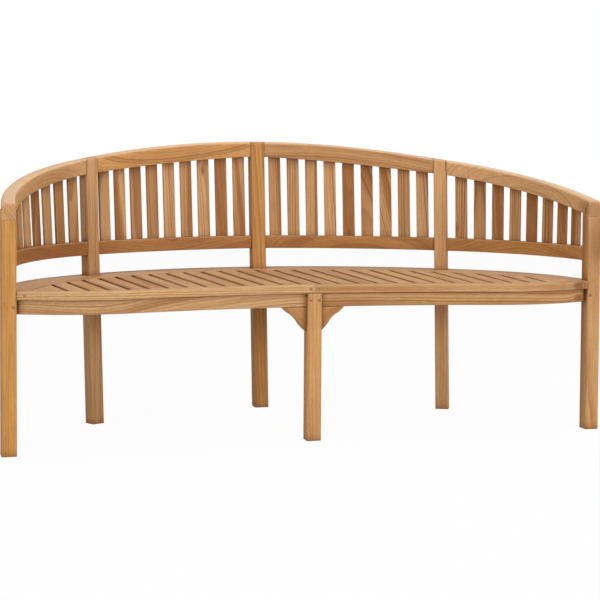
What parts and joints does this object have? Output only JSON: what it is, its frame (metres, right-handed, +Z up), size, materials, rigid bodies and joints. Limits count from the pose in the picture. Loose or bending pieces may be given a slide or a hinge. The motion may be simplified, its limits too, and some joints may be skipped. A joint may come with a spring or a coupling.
{
  "type": "garden bench",
  "caption": "Curved wooden garden bench with a wrap-around slatted back, sloping arms and a kidney-shaped slatted seat on straight legs.",
  "frame": {"origin": "on the floor, in the middle of the bench's width and depth", "axes": "+X along the bench (to the right seen from the front), +Y from the front to the back, +Z up"},
  "size_m": [1.8, 0.806, 0.873],
  "materials": {
    "post_wood": "oiled, planed hardwood with soft arrises",
    "rail_wood": "oiled, sawn and sanded hardwood with soft arrises",
    "seat_slat_wood": "oiled, planed hardwood",
    "back_slat_wood": "oiled, planed hardwood",
    "apron_wood": "oiled, planed hardwood",
    "plug_wood": "end-grain hardwood plug"
  },
  "bodies": {
    "root": {"centre_back_post": "post_wood", "centre_front_leg": "post_wood", "centre_seat_bearer": "apron_wood", "joint_plugs": "plug_wood", "left_arm_rail": "rail_wood", "left_back_post": "post_wood", "left_back_slats": "back_slat_wood", "left_corbel": "apron_wood", "left_end_back_rail": "rail_wood", "left_end_seat_board": "rail_wood", "left_front_apron": "apron_wood", "left_front_leg": "post_wood", "left_front_seat_rail": "rail_wood", "left_lower_back_rail": "rail_wood", "left_rear_apron": "apron_wood", "left_rear_seat_board": "rail_wood", "left_seat_slat_01": "seat_slat_wood", "left_seat_slat_02": "seat_slat_wood", "left_seat_slat_03": "seat_slat_wood", "left_seat_slat_04": "seat_slat_wood", "left_seat_slat_05": "seat_slat_wood", "left_seat_slat_06": "seat_slat_wood", "left_seat_slat_07": "seat_slat_wood", "left_seat_slat_08": "seat_slat_wood", "left_seat_slat_09": "seat_slat_wood", "left_seat_slat_10": "seat_slat_wood", "left_seat_slat_11": "seat_slat_wood", "left_seat_slat_12": "seat_slat_wood", "left_seat_slat_13": "seat_slat_wood", "left_side_apron": "apron_wood", "left_top_rail": "rail_wood", "right_arm_rail": "rail_wood", "right_back_post": "post_wood", "right_back_slats": "back_slat_wood", "right_corbel": "apron_wood", "right_end_back_rail": "rail_wood", "right_end_seat_board": "rail_wood", "right_front_apron": "apron_wood", "right_front_leg": "post_wood", "right_front_seat_rail": "rail_wood", "right_lower_back_rail": "rail_wood", "right_rear_apron": "apron_wood", "right_rear_seat_board": "rail_wood", "right_seat_slat_01": "seat_slat_wood", "right_seat_slat_02": "seat_slat_wood", "right_seat_slat_03": "seat_slat_wood", "right_seat_slat_04": "seat_slat_wood", "right_seat_slat_05": "seat_slat_wood", "right_seat_slat_06": "seat_slat_wood", "right_seat_slat_07": "seat_slat_wood", "right_seat_slat_08": "seat_slat_wood", "right_seat_slat_09": "seat_slat_wood", "right_seat_slat_10": "seat_slat_wood", "right_seat_slat_11": "seat_slat_wood", "right_seat_slat_12": "seat_slat_wood", "right_seat_slat_13": "seat_slat_wood", "right_side_apron": "apron_wood", "right_top_rail": "rail_wood", "seat_slat_centre": "seat_slat_wood"}
  },
  "joints": []
}
